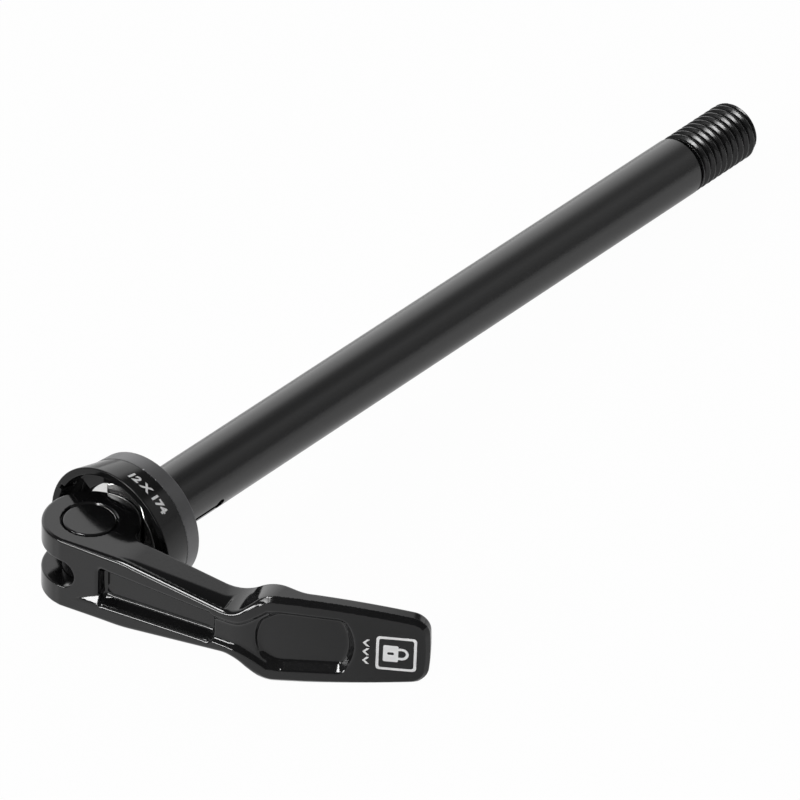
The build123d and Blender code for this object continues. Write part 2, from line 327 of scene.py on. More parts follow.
def paintThread(wire, point):
    rub = wire.noise(point, 1.2, 3.0)
    grain = wire.noise(point, 8.0, 2.0)
    return {
        "Base Color": wire.tint(rub, (0.006, 0.006, 0.0063), (0.016, 0.016, 0.0165)),
        "Roughness": 0.14 + rub * 0.1,
        "IOR": 1.5,
        "Normal": wire.bump(grain, 0.003),
    }


def paintBright(wire, point):
    turning = wire.noise(point, 1.0, 3.0, stretch=(0.6, 7.0, 0.6))
    cloud = wire.noise(point, 0.5, 2.0)
    return {
        "Base Color": wire.tint(cloud, (0.74, 0.74, 0.73), (0.86, 0.86, 0.85)),
        "Metallic": 1.0,
        "Roughness": 0.16 + turning * 0.14,
        "Normal": wire.bump(turning, 0.006),
    }


def paintBarrel(wire, point):
    mottle = wire.noise(point, 3.2, 3.0)
    cloud = wire.noise(point, 0.5, 3.0)
    return {
        "Base Color": wire.tint(cloud, (0.004, 0.004, 0.0043), (0.011, 0.011, 0.0115)),
        "Roughness": 0.08 + cloud * 0.06 + mottle * 0.04,
        "IOR": 1.5,
        "Normal": wire.bump(mottle, 0.005),
    }


def steelPaint(dark, light, stretch, rough):
    def paint(wire, point):
        lines = wire.noise(point, 1.0, 3.0, stretch=stretch)
        stain = wire.noise(point, 0.35, 3.0)
        return {
            "Base Color": wire.tint(stain, dark, light),
            "Metallic": 1.0,
            "Roughness": rough + lines * 0.14 + stain * 0.08,
            "Normal": wire.bump(lines, 0.006),
        }
    return paint


def paintSleeve(wire, point):
    grain = wire.noise(point, 5.0, 3.0)
    cloud = wire.noise(point, 0.3, 2.0)
    return {
        "Base Color": wire.tint(cloud, (0.42, 0.42, 0.40), (0.55, 0.55, 0.53)),
        "Roughness": 0.42 + grain * 0.2,
        "Normal": wire.bump(grain, 0.01),
    }


def paintSeal(wire, point):
    grain = wire.noise(point, 6.0, 3.0)
    return {
        "Base Color": wire.tint(grain, (0.008, 0.008, 0.008), (0.022, 0.022, 0.021)),
        "Roughness": 0.5 + grain * 0.25,
        "Normal": wire.bump(grain, 0.012),
    }


def paintPrint(wire, point):
    grain = wire.noise(point, 6.0, 3.0)
    worn = wire.noise(point, 1.4, 4.0)
    return {
        "Base Color": wire.tint(worn, (0.80, 0.80, 0.80), (0.92, 0.92, 0.92)),
        "Roughness": 0.4 + grain * 0.2,
        "Normal": wire.bump(grain, 0.006),
    }


leverGloss = finish("leverGloss", paintLever)
ringBlack = finish("ringBlack", paintRing)
shaftBlack = finish("shaftBlack", paintShaft)
threadBlack = finish("threadBlack", paintThread)
saddleBright = finish("saddleBright", paintBright)
barrelBlack = finish("barrelBlack", paintBarrel)
# dark and light tint, stretch of the lines, least roughness
steels = {
    "rodSteel": ((0.42, 0.42, 0.42), (0.56, 0.56, 0.55), (0.2, 4.0, 4.0), 0.22),
    "washerSteel": ((0.5, 0.49, 0.47), (0.62, 0.61, 0.59), (5.0, 2.0, 2.0), 0.28),
    "wedgeSteel": ((0.36, 0.36, 0.36), (0.48, 0.48, 0.47), (6.0, 0.4, 0.4), 0.26),
    "springSteel": ((0.34, 0.34, 0.35), (0.46, 0.46, 0.46), (1.0, 3.0, 3.0), 0.24),
    "adjusterSteel": ((0.3, 0.3, 0.31), (0.42, 0.42, 0.42), (5.0, 0.5, 0.5), 0.25),
}
steel = {name: finish(name, steelPaint(*look)) for name, look in steels.items()}
sleevePlastic = finish("sleevePlastic", paintSleeve)
sealRubber = finish("sealRubber", paintSeal)
whitePrint = finish("whitePrint", paintPrint)
print("finishes made")


# Lever: cam ears, arm with a pocket, bend, and thumb paddle
lever = {
    "pivotX": -15.65, "camReach": 9.3, "camLift": 1.0, "openAngle": 175.0, "heelR": 2.5,
    "earHalf": 7.3, "earCornerR": 50.0, "earCornerCos": 0.991,
    "slotHalf": 2.7, "slotEndY": -0.4, "slotEdge": 0.35, "holeR": 4.85, "holeChamfer": 0.45, "holeEdge": 0.1,
    "armFront": 8.2, "armThick": 7.5, "armLean": 10.54, "armRun": 35.33, "bendR": 9.5, "innerBendR": 6.0,
    "padThick": 3.25, "padLean": 34.0, "padRun": 34.19, "padBulge": 0.66,
    "tipHalf": 6.5, "tipR": 3.2, "tipCos": 0.12, "tipBow": 120.0,
    "frontEdge": 0.95, "frontEdgeRun": (-4.0, 9.0), "backEdge": 0.6, "edgeBlend": 0.6,
    "padBevel": 0.85, "padBevelRun": (2.6, 5.0), "bevelEdge": 0.12,
    "taperY": -12.8, "taperR": 30.0, "neckY": -35.1, "neckHalf": 4.4, "neckR": 4.5, "neckSoften": 0.6,
    "flareY": -40.2, "flareHalf": 9.25, "flareR": 3.5, "flareLean": 0.2, "flareSoften": 0.8,
    "fluteLip": 1.0, "fluteStart": 11.5, "fluteEnd": 32.1, "fluteFall": 0.18, "fluteTilt": 0.43,
    "fluteR": 6.0, "fluteCos": 0.93, "fluteScale": 0.929,
    "fluteFront": (-0.15, 0.4), "fluteFade": (-0.3, 0.5),
    "channelStart": -7.4, "channelEnd": 7.5, "channelEndR": 0.3, "channelDepth": 0.8, "channelDraft": 54.0,
    "channelHalf": 3.0, "channelFlare": 0.5, "channelMaxFlare": 3.4, "channelSoften": 1.5,
    "channelCurve": 1.2, "channelFloorR": 0.8, "channelFloorCos": 0.6, "channelEdge": 0.15,
    "pocketStart": 6.65, "pocketEnd": 29.95, "pocketHalf": 4.15, "pocketEndHalf": 3.25, "pocketR": 0.9,
    "pocketDepth": 2.45, "pocketDraft": 26.1, "pocketFloorR": 0.5, "pocketFloorCos": 0.3, "pocketEdge": 0.45,
    "pocketEndRun": (9.6, 11.2), "pocketEndFloor": 0.7, "pocketEndEdge": 0.2,
    "tailStart": 2.2, "tailRun": 4.5, "tailHeight": 2.1, "tailLean": 28.0, "tailEdge": 0.18,
    "tailOverlap": 0.6, "tailScale": 0.9, "tailR": 0.1,
    "thumbStart": (1.94, 3.4), "thumbStartOut": (-0.5425, 0.84),
    "thumbSide": (6.74, 6.45), "thumbSideOut": (0.0457, 0.999), "thumbSideR": 5.0, "thumbSideCos": 0.815,
    "thumbTip": 11.64, "thumbTipR": 9.3, "thumbTipCorner": 1.7, "thumbTipCos": 0.45,
    "thumbHeel": 10.01, "thumbHeelR": 8.0, "thumbHeelCorner": 1.2, "thumbHeelCos": 0.3,
    "thumbDepth": 1.7, "thumbDraft": 38.0, "thumbFloorR": 1.0, "thumbEdge": 0.25,
    "lengthSoften": 0.25, "lengthLess": 0.1,
    "low": (-27, -66, -10), "high": (9, 10, 10), "step": 0.228,
}
pivot = np.array([lever["pivotX"], 0])
armOut = heading(180 + lever["armLean"])
armDir = heading(lever["armLean"] - 90)
padOut = heading(lever["padLean"] - 180)
padDir = heading(lever["padLean"] - 90)
bend = pivot + armOut * lever["armFront"] + armDir * lever["armRun"]
bendCos = math.cos(math.radians(lever["padLean"] - lever["armLean"]))
tipY = bend[1] + padDir[1] * lever["padRun"]


def circleThrough(a, b, c):
    rows = 2 * np.array([b - a, c - a])
    centre = np.linalg.solve(rows, np.array([b @ b - a @ a, c @ c - a @ a]))
    return centre, np.linalg.norm(centre - a)


taper = np.array([lever["taperY"], lever["earHalf"]])
neck = np.array([lever["neckY"], lever["neckHalf"]])
flare = np.array([lever["flareY"], lever["flareHalf"]])
tipSlope = (lever["flareHalf"] - lever["tipHalf"]) / (lever["flareY"] - tipY)
padEnd = np.array([
    tipY - lever["tipR"],
    lever["tipHalf"] - tipSlope * lever["tipR"] - lever["padBulge"] / 3,
])
padArc, padArcR = circleThrough(flare, (flare + padEnd) / 2 + np.array([0, lever["padBulge"]]), padEnd)


def outward(a, b):
    # unit normal of the line from a to b, on the side of greater height
    run = (b - a) / np.linalg.norm(b - a)
    return np.array([run[1], -run[0]]) if run[0] < 0 else np.array([-run[1], run[0]])


taperOut = outward(taper, neck)
flareOut = outward(neck, flare)
flareCos = float(flareOut @ (flare - padArc) / padArcR)


def offLine(u, v, spot, out):
    # distance past the line through spot whose unit normal is out
    return (u - spot[0]) * out[0] + (v - spot[1]) * out[1]


def leverSide(y, height, depth):
    # the flare leans towards the arm, and its corner softens, further behind the front
    narrow = offLine(y, height, taper, taperOut)
    narrow = roundMax(height - lever["earHalf"], narrow, lever["taperR"], float(taperOut[1]))
    y = y - lever["flareLean"] * depth
    wide = offLine(y, height, neck, flareOut)
    bow = np.hypot(y - padArc[0], height - padArc[1]) - padArcR
    wide = roundMax(wide, bow, lever["flareR"] + lever["flareSoften"] * depth, flareCos)
    return roundMin(narrow, wide, lever["neckR"] + lever["neckSoften"] * depth, float(taperOut @ flareOut))


def fluted(side, along, armDepth, height):
    # flutes at the neck: a leaning face behind a thin front lip, soft where it runs out at the back
    behind = -armDepth - lever["fluteLip"]
    fall = lever["earHalf"] - lever["fluteFall"] * (along - lever["fluteStart"])
    rise = height - fall - lever["fluteTilt"] * behind
    soft = roundMax(side, rise * lever["fluteScale"], lever["fluteR"], lever["fluteCos"])
    share = smoothStep(behind, *lever["fluteFront"])
    share = share * smoothStep(lever["fluteEnd"] - along, *lever["fluteFade"])
    return side + (soft - side) * share


def leverRear(dx, y, armDepth, padDepth, along):
    # cam round the pivot, then the backs of arm and paddle
    back = roundMin(
        -armDepth - lever["armThick"], -padDepth - lever["padThick"], lever["innerBendR"], bendCos)
    angle = np.degrees(np.arctan2(y, dx))
    angle = np.where(angle < -135, angle + 360, angle)
    cam = np.hypot(dx, y) - lever["camReach"] + lever["camLift"] * np.clip(angle, 0, 180) / lever["openAngle"]
    return roundMin(cam, np.maximum(back, -along), lever["heelR"])


def edged(front, rear, side, along, run):
    # soft edges on the arm and at the back, a crisp bevel round the face of the paddle
    plan = roundMax(front, rear, lever["earCornerR"], lever["earCornerCos"])
    onFront = smoothStep(front - rear, -lever["edgeBlend"], lever["edgeBlend"])
    wider = (lever["frontEdge"] - lever["backEdge"]) * onFront * smoothStep(along, *lever["frontEdgeRun"])
    body = roundMax(plan, side, lever["backEdge"] + wider)
    bevel = (plan + side + lever["padBevel"]) * slant
    crisp = roundMax(plan, bevel, lever["bevelEdge"], chamferCos)
    crisp = roundMax(crisp, side, lever["bevelEdge"], chamferCos)
    return body + (crisp - body) * onFront * smoothStep(run, *lever["padBevelRun"])


def channelCut(front, along, run, height):
    # shallow channel over the bend, from the pocket to the thumb recess
    past = (along - lever["armRun"] + run) / 2
    lean = math.radians(lever["channelDraft"])
    flareOn = (past + np.sqrt(past * past + lever["channelSoften"])) / 2
    flareOn = np.minimum(lever["channelFlare"] * flareOn ** lever["channelCurve"], lever["channelMaxFlare"])
    half = lever["channelHalf"] + flareOn + front * math.tan(lean)
    ends = np.maximum(lever["channelStart"] - past, past - lever["channelEnd"])
    walls = roundMax((height - half) * math.cos(lean), ends, lever["channelEndR"])
    return roundMax(walls, -front - lever["channelDepth"], lever["channelFloorR"], lever["channelFloorCos"])


def pocketed(body, armDepth, along, height):
    # drafted pocket in the arm, with larger rounds at its two ends
    share = (along - lever["pocketStart"]) / (lever["pocketEnd"] - lever["pocketStart"])
    lean = math.radians(lever["pocketDraft"])
    half = lever["pocketHalf"] + (lever["pocketEndHalf"] - lever["pocketHalf"]) * share
    half = half + armDepth * math.tan(lean)
    ends = np.maximum(lever["pocketStart"] - along, along - lever["pocketEnd"])
    pocket = roundMax(ends, (height - half) * math.cos(lean), lever["pocketR"])
    middle = (lever["pocketStart"] + lever["pocketEnd"]) / 2
    atEnds = smoothStep(np.abs(along - middle), *lever["pocketEndRun"])
    floorR = lever["pocketFloorR"] + lever["pocketEndFloor"] * atEnds
    pocket = roundMax(pocket, -armDepth - lever["pocketDepth"], floorR, lever["pocketFloorCos"])
    return roundMax(body, -pocket, lever["pocketEdge"] + lever["pocketEndEdge"] * atEnds)


def tailCut(armDepth, along, z):
    # leaning facet that runs out of the pocket's lower corner towards the ears
    lean = math.radians(lever["tailLean"])
    facet = (-armDepth - (lever["pocketHalf"] + z) * math.tan(lean)) * math.cos(lean)
    inner = lever["pocketHalf"] - lever["tailHeight"] * (along - lever["tailStart"]) / lever["tailRun"]
    within = np.maximum((inner + z) * lever["tailScale"], along - lever["pocketStart"] - lever["tailOverlap"])
    return roundMax(facet, within, lever["tailR"])


def thumbRecess(run, height, depth):
    # outline with a bowed outer end, walls that lean out, and a rounded floor edge
    start = offLine(run, height, lever["thumbStart"], lever["thumbStartOut"])
    side = offLine(run, height, lever["thumbSide"], lever["thumbSideOut"])
    side = roundMax(start, side, lever["thumbSideR"], lever["thumbSideCos"])
    tip = np.hypot(run - lever["thumbTip"], height) - lever["thumbTipR"]
    heel = np.hypot(run - lever["thumbHeel"], height) - lever["thumbHeelR"]
    heel = np.where(run < lever["thumbHeel"], heel, -lever["thumbHeelR"])
    outline = roundMax(side, tip, lever["thumbTipCorner"], lever["thumbTipCos"])
    outline = roundMax(outline, heel, lever["thumbHeelCorner"], lever["thumbHeelCos"])
    lean = math.radians(lever["thumbDraft"])
    wall = (outline + depth * math.tan(lean)) * math.cos(lean)
    return roundMax(wall, depth - lever["thumbDepth"], lever["thumbFloorR"], math.sin(lean))


def leverField(x, y, z):
    dx = x - pivot[0]
    height = np.abs(z)
    armDepth = offLine(x, y, pivot, armOut) - lever["armFront"]
    along = offLine(x, y, pivot, armDir)
    padDepth = offLine(x, y, bend, padOut)
    run = offLine(x, y, bend, padDir)
    front = roundMax(armDepth, padDepth, lever["bendR"], bendCos)
    rear = leverRear(dx, y, armDepth, padDepth, along)
    # the half height follows the length of the front, square to the arm and then to the paddle
    armY = armDir[1] * along + armOut[1] * lever["armFront"]
    padY = bend[1] + padDir[1] * run
    apart = np.sqrt((armY - padY) ** 2 + lever["lengthSoften"])
    frontY = (armY + padY + apart) / 2 - lever["lengthLess"]
    side = leverSide(frontY, height, np.clip(-front, 0, lever["armThick"]))
    side = fluted(side, along, armDepth, height)
    end = run - lever["padRun"] + height ** 2 / lever["tipBow"]
    side = roundMax(side, end, lever["tipR"], lever["tipCos"])
    body = edged(front, rear, side, along, run)
    body = roundMax(body, -channelCut(front, along, run, height), lever["channelEdge"])
    body = pocketed(body, armDepth, along, height)
    body = roundMax(body, -tailCut(armDepth, along, z), lever["tailEdge"])
    body = roundMax(body, -thumbRecess(run, height, -padDepth), lever["thumbEdge"])
    # slot between the ears, and the barrel's bore with a chamfered mouth
    fromEnd = np.hypot(y - lever["slotEndY"], height)
    slot = np.where(y > lever["slotEndY"], height, fromEnd) - lever["slotHalf"]
    body = roundMax(body, -slot, lever["slotEdge"])
    bore = lever["holeR"] - np.hypot(dx, y)
    mouth = (bore + height - lever["earHalf"] + lever["holeChamfer"]) * slant
    body = roundMax(body, mouth, lever["holeEdge"], chamferCos)
    return np.maximum(body, bore)


leverMesh = netMesh("lever_gloss", leverField, lever["low"], lever["high"], lever["step"])
place("lever_gloss", leverMesh, "lever", leverGloss, "lever_gloss", "lever")


# End ring: conical cup with a rim, a shelf and a deeper pocket
ring = {
    "depth": 10.06, "frontR": 14.15, "bandX": -3.4, "shoulderR": 12.8, "backR": 12.57, "stepDown": 0.12,
    "shoulderEdge": 0.08, "stepR": 0.05, "edge": 0.3, "frontCos": 0.18,
    "rimR": 12.65, "rimRootR": 12.2, "shelfX": -7.0, "shelfR": 0.35, "rimCos": 0.1, "rimEdge": 0.22,
    "boreR": 9.5, "floorX": -2.4, "floorR": 0.3, "holeR": 6.775, "holeEdge": 0.1,
    "pocketX": -4.2, "pocketAngle": 36.0, "pocketR": 0.6, "cutEdge": 0.2,
    "notchAngle": 26.0, "notchHalf": 0.6, "notchInR": 8.0, "notchR": 13.3,
    "low": (-10.6, -14.8, -14.8), "high": (0.6, 14.8, 14.8), "step": 0.2,
}
coneFoot = ring["shoulderR"] - ring["stepDown"]
coneSlope = (ring["frontR"] - coneFoot) / (ring["bandX"] + ring["depth"])


def ringField(x, y, z):
    radius = np.hypot(y, z)
    frontX = -ring["depth"]
    cone = (radius - coneFoot + coneSlope * (x - ring["bandX"])) / math.hypot(1, coneSlope)
    bandSlope = (ring["shoulderR"] - ring["backR"]) / -ring["bandX"]
    band = (radius - ring["backR"] + bandSlope * x) / math.hypot(1, bandSlope)
    band = roundMax(band, ring["bandX"] - x, ring["shoulderEdge"])
    body = roundMin(cone, band, ring["stepR"])
    body = roundMax(body, x, ring["edge"])
    body = roundMax(body, frontX - x, ring["edge"], ring["frontCos"])
    # cup, well, bore, deeper pocket and notch
    rimSlope = (ring["rimR"] - ring["rimRootR"]) / (ring["shelfX"] - frontX)
    rim = radius - ring["rimRootR"] + rimSlope * (x - ring["shelfX"])
    cup = roundMax(rim, x - ring["shelfX"], ring["shelfR"], ring["rimCos"])
    body = roundMax(body, -cup, ring["rimEdge"])
    well = roundMax(radius - ring["boreR"], x - ring["floorX"], ring["floorR"])
    body = roundMax(body, -well, ring["cutEdge"])
    body = roundMax(body, ring["holeR"] - radius, ring["holeEdge"])
    lean = math.radians(ring["pocketAngle"])
    fan = np.abs(z) * math.cos(lean) - y * math.sin(lean)
    sector = roundMax(np.maximum(radius - ring["rimRootR"], x - ring["pocketX"]), fan, ring["pocketR"])
    body = roundMax(body, -sector, ring["cutEdge"])
    side = heading(ring["notchAngle"])
    across = np.abs(z * side[0] - y * side[1]) - ring["notchHalf"]
    reach = np.maximum(ring["notchInR"] - (y * side[0] + z * side[1]), radius - ring["notchR"])
    notch = roundMax(np.maximum(across, reach), x - ring["shelfX"], ring["cutEdge"])
    return roundMax(body, -notch, ring["cutEdge"])


ringMesh = netMesh("end_ring_cup", ringField, ring["low"], ring["high"], ring["step"])
place("end_ring_cup", ringMesh, "axle", ringBlack, "ring_anodised", "end_ring")


# Cam saddle: bright disc with a hollow seat
saddle = {
    "r": 9.4, "backX": -4.4, "hornX": -8.5, "flatX": -6.0, "flatY": 3.7,
    "seatX": -16.65, "seatR": 10.38, "boreR": 2.6, "edge": 0.25, "flatR": 0.3, "boreEdge": 0.2,
    "low": (-9, -10, -10), "high": (-4, 10, 10), "step": 0.2,
}


def saddleField(x, y, z):
    radius = np.hypot(y, z)
    ends = np.maximum(x - saddle["backX"], saddle["hornX"] - x)
    body = roundMax(radius - saddle["r"], ends, saddle["edge"])
    body = roundMax(body, saddle["seatR"] - np.hypot(x - saddle["seatX"], y), saddle["edge"])
    side = roundMax(saddle["flatY"] - y, x - saddle["flatX"], saddle["flatR"])
    body = roundMax(body, -side, saddle["edge"])
    return roundMax(body, saddle["boreR"] - radius, saddle["boreEdge"])


saddleMesh = netMesh("cam_saddle_seat", saddleField, saddle["low"], saddle["high"], saddle["step"])
place("cam_saddle_seat", saddleMesh, "pusher", saddleBright, "saddle_metal", "cam_saddle")


# Pivot barrel across the ears
barrel = {
    "r": 4.8, "half": 7.3, "edge": 0.32,
    "low": (-21, -5.4, -7.8), "high": (-10.4, 5.4, 7.8), "step": 0.18,
}


def barrelField(x, y, z):
    around = np.hypot(x - pivot[0], y) - barrel["r"]
    return roundMax(around, np.abs(z) - barrel["half"], barrel["edge"])


barrelMesh = netMesh("pivot_barrel_pin", barrelField, barrel["low"], barrel["high"], barrel["step"])
place("pivot_barrel_pin", barrelMesh, "head", barrelBlack, "barrel_black", "pivot_barrel")


# Shaft: turned tube with two keyhole slits at the expanding end
shaft = {
    "r": 5.975, "collarX": -2.4, "collarR": 6.775, "endX": 155.4, "endChamfer": 0.1,
    "boreR": 3.3, "springX": 17, "springR": 4.25, "coneX": 1, "coneR": 4.6, "mouthR": 4.88,
    "rings": (1, 17, 60, 110), "segments": 192, "skinGap": 0.02, "skinFacing": 0.9,
    "slitX": 1.5, "slitHalf": 0.45, "slitAngle": 23.0, "eyeX": 13.8, "eyeR": 1.1, "eyeSteps": 32,
    "cutReach": 9,
}


def latheMesh(name, profile, segments):
    # closed (x, radius) profile turned about the axle
    verts = []
    faces = []
    count = len(profile)
    for turn in range(segments):
        angle = 2 * math.pi * turn / segments
        for x, radius in profile:
            verts.append((x * mm, radius * math.cos(angle) * mm, radius * math.sin(angle) * mm))
    for turn in range(segments):
        here = turn * count
        there = (turn + 1) % segments * count
        for n in range(count):
            m = (n + 1) % count
            faces.append((here + n, here + m, there + m, there + n))
    mesh = bpy.data.meshes.new(name)
    mesh.from_pydata(verts, [], faces)
    return mesh


def slitCutter():
    # keyhole outline pushed right through the shaft, so that it cuts both slits
    start = math.asin(shaft["slitHalf"] / shaft["eyeR"])
    outline = [(shaft["slitX"], -shaft["slitHalf"])]
    for n in range(shaft["eyeSteps"] + 1):
        angle = -math.pi + start + (2 * math.pi - 2 * start) * n / shaft["eyeSteps"]
        outline.append((shaft["eyeX"] + shaft["eyeR"] * math.cos(angle), shaft["eyeR"] * math.sin(angle)))
    outline.append((shaft["slitX"], shaft["slitHalf"]))
    count = len(outline)
    ends = (-shaft["cutReach"], shaft["cutReach"])
    verts = [(x * mm, reach * mm, z * mm) for reach in ends for x, z in outline]
    faces = [tuple(range(count)), tuple(range(2 * count - 1, count - 1, -1))]
    faces += [(n + 1, n, n + count, n + 1 + count) for n in range(count - 1)]
    faces.append((0, count - 1, 2 * count - 1, count))
    mesh = bpy.data.meshes.new("slit_cutter")
    mesh.from_pydata(verts, [], faces)
    mesh.transform(Matrix.Rotation(math.radians(shaft["slitAngle"]), 4, "X"))
    faceOutward(mesh)
    return newObject("slit_cutter", mesh)


def radialNormals(mesh, radius):
    # true cylinder normals on the outside, flat ones elsewhere
    normals = []
    for face in mesh.polygons:
        for index in face.vertices:
            spot = mesh.vertices[index].co
            outer = Vector((0, spot.y, spot.z))
            away = outer.normalized()
            onSkin = abs(outer.length - radius * mm) < shaft["skinGap"] * mm
            onSkin = onSkin and face.normal.dot(away) > shaft["skinFacing"]
            normals.append(tuple(away) if onSkin else tuple(face.normal))
    mesh.shade_smooth()
    mesh.normals_split_custom_set(normals)


shaftProfile = [(shaft["collarX"], shaft["collarR"]), (0, shaft["collarR"]), (0, shaft["r"])]
shaftProfile += [(x, shaft["r"]) for x in shaft["rings"]]
shaftProfile += [
    (shaft["endX"] - shaft["endChamfer"], shaft["r"]), (shaft["endX"], shaft["r"] - shaft["endChamfer"]),
    (shaft["endX"], shaft["boreR"]), (shaft["springX"], shaft["boreR"]), (shaft["springX"], shaft["springR"]),
    (shaft["coneX"], shaft["coneR"]), (shaft["collarX"], shaft["mouthR"]),
]
shaftPiece = newObject("axle_shaft_tube", latheMesh("axle_shaft_tube", shaftProfile, shaft["segments"]))
cutter = slitCutter()
cut = shaftPiece.modifiers.new("slits", "BOOLEAN")
cut.object = cutter
cut.operation = "DIFFERENCE"
cut.solver = "EXACT"
shaftMesh = evaluatedMesh(shaftPiece)
shaftMesh.name = "axle_shaft_tube"
bpy.data.objects.remove(shaftPiece)
bpy.data.objects.remove(cutter)
radialNormals(shaftMesh, shaft["r"])
place("axle_shaft_tube", shaftMesh, "axle", shaftBlack, "shaft_anodised", "axle_shaft")
print("axle_shaft_tube", len(shaftMesh.polygons), "faces")


# Threaded tip
thread = {
    "pitch": 1.75, "crestR": 5.93, "rootR": 4.98, "phase": 157.3, "flank": 34.0, "flankCos": 0.5,
    "crestHalf": 0.16, "crestEdge": 0.07, "rootFillet": 0.12, "startX": 156.2, "startScale": 0.9,
    "reliefX": 155.4, "endX": 174.0, "chamfer": 0.95, "edge": 0.05,
    "boreR": 4.0, "boreDepth": 10.0, "boreFloorR": 0.1, "boreChamfer": 0.3, "mouthDepth": 1,
    "low": (154.9, -6.4, -6.4), "high": (174.5, 6.4, 6.4), "step": 0.17,
}


def threadField(x, y, z):
    radius = np.hypot(y, z)
    turn = np.arctan2(z, y) / (2 * math.pi)
    phase = (x - thread["phase"]) / thread["pitch"] - turn
    away = np.abs(phase - np.round(phase)) * thread["pitch"]
    lean = math.radians(thread["flank"])
    aboveCrest = radius - thread["crestR"]
    flank = aboveCrest * math.sin(lean) + (away - thread["crestHalf"]) * math.cos(lean)
    ridge = roundMax(flank, aboveCrest, thread["crestEdge"], thread["flankCos"])
    ridge = np.maximum(ridge, (thread["startX"] - x) * thread["startScale"])
    body = roundMin(ridge, radius - thread["rootR"], thread["rootFillet"], thread["flankCos"])
    body = roundMax(body, np.maximum(thread["reliefX"] - x, x - thread["endX"]), thread["edge"])
    tip = (aboveCrest + x - thread["endX"] + thread["chamfer"]) * slant
    body = roundMax(body, tip, thread["edge"], chamferCos)
    # bore for the adjuster, with a chamfered mouth
    inBore = radius - thread["boreR"]
    bore = roundMax(inBore, thread["endX"] - thread["boreDepth"] - x, thread["boreFloorR"])
    mouth = (inBore + thread["endX"] - x - thread["boreChamfer"]) * slant
    mouth = np.maximum(mouth, thread["endX"] - thread["mouthDepth"] - x)
    return roundMax(body, -roundMin(bore, mouth, thread["edge"]), thread["edge"])


threadMesh = netMesh("axle_thread", threadField, thread["low"], thread["high"], thread["step"])
place("axle_thread", threadMesh, "axle", threadBlack, "shaft_anodised", "axle_shaft")


# Tension adjuster with its hexagon socket
adjuster = {
    "startX": 164.8, "endX": 172.8, "r": 3.9, "edge": 0.35,
    "grooveX": 168.8, "grooveHalf": 0.55, "grooveR": 2.95, "grooveEdge": 0.08,
    "hexHalf": 1.25, "hexX": 170.2, "hexEdge": 0.06, "mouthChamfer": 0.25, "mouthDepth": 0.6,
    "backBoreR": 2.6, "backBoreX": 169.4, "backBoreEdge": 0.1,
    "low": (164.4, -4.3, -4.3), "high": (173.2, 4.3, 4.3), "step": 0.14,
}


def adjusterField(x, y, z):
    radius = np.hypot(y, z)
    ends = np.maximum(adjuster["startX"] - x, x - adjuster["endX"])
    body = roundMax(radius - adjuster["r"], ends, adjuster["edge"])
    groove = np.abs(x - adjuster["grooveX"]) - adjuster["grooveHalf"]
    groove = np.maximum(groove, adjuster["grooveR"] - radius)
    body = roundMax(body, -groove, adjuster["grooveEdge"])
    sides = [np.abs(y * math.cos(a) + z * math.sin(a)) for a in (0, math.pi / 3, 2 * math.pi / 3)]
    hexagon = np.maximum(np.maximum(sides[0], sides[1]), sides[2]) - adjuster["hexHalf"]
    mouth = (hexagon - adjuster["mouthChamfer"] + adjuster["endX"] - x) * slant
    mouth = np.maximum(mouth, adjuster["endX"] - adjuster["mouthDepth"] - x)
    socket = np.minimum(np.maximum(hexagon, adjuster["hexX"] - x), mouth)
    body = roundMax(body, -socket, adjuster["hexEdge"])
    hollow = np.maximum(radius - adjuster["backBoreR"], x - adjuster["backBoreX"])
    return roundMax(body, -hollow, adjuster["backBoreEdge"])


adjusterName = "tension_adjuster_screw"
adjusterMesh = netMesh(adjusterName, adjusterField, adjuster["low"], adjuster["high"], adjuster["step"])
place(adjusterName, adjusterMesh, "adjuster", steel["adjusterSteel"], "adjuster_steel", "tension_adjuster")


# Solids that keep their own shape
for nodeName, material in [
    ("draw_rod", steel["rodSteel"]), ("thrust_washer", steel["washerSteel"]),
    ("adjuster_washer", steel["washerSteel"]), ("expander_wedge", steel["wedgeSteel"]),
    ("return_spring", steel["springSteel"]), ("rod_sleeve", sleevePlastic), ("adjuster_seal", sealRubber),
]:
    nodes[nodeName].data.materials.clear()
    nodes[nodeName].data.materials.append(material)
print("solids dressed")


# White print: size numerals on the ring, a lock sign and closing marks on the paddle
printThick = 0.03
numerals = {
    "text": "12 X 174", "size": 3.5, "bold": 0.15, "firstAngle": 98.0, "lastAngle": 139.0,
    "bottomX": -7.75, "height": 1.95, "longest": 0.45,
}


def flatPrint(curve, longest, rounds=4):
    # filled outlines as a closed sheet, cut fine enough to follow a curved face
    curve.extrude = 1.0
    holder = newObject("print_holder", curve)
    mesh = evaluatedMesh(holder)
    bpy.data.objects.remove(holder)
    sheet = bmesh.new()
    sheet.from_mesh(mesh)
    bmesh.ops.remove_doubles(sheet, verts=sheet.verts, dist=1e-5)
    bmesh.ops.triangulate(sheet, faces=sheet.faces)
    for turn in range(rounds):
        edges = [e for e in sheet.edges if (e.verts[0].co.xy - e.verts[1].co.xy).length > longest]
        if not edges:
            break
        bmesh.ops.subdivide_edges(sheet, edges=edges, cuts=1)
        bmesh.ops.triangulate(sheet, faces=sheet.faces)
    sheet.to_mesh(mesh)
    sheet.free()
    return mesh


def bendPrint(mesh, spot):
    for vert in mesh.vertices:
        vert.co = spot(vert.co.x, vert.co.y, math.copysign(printThick, vert.co.z)) * mm
    faceOutward(mesh)
    return mesh


numeralCurve = bpy.data.curves.new("ring_numerals", "FONT")
numeralCurve.body = numerals["text"]
numeralCurve.size = numerals["size"]
numeralCurve.offset = numerals["bold"]
numeralMesh = flatPrint(numeralCurve, numerals["longest"])
widths = [v.co.x for v in numeralMesh.vertices]
heights = [v.co.y for v in numeralMesh.vertices]


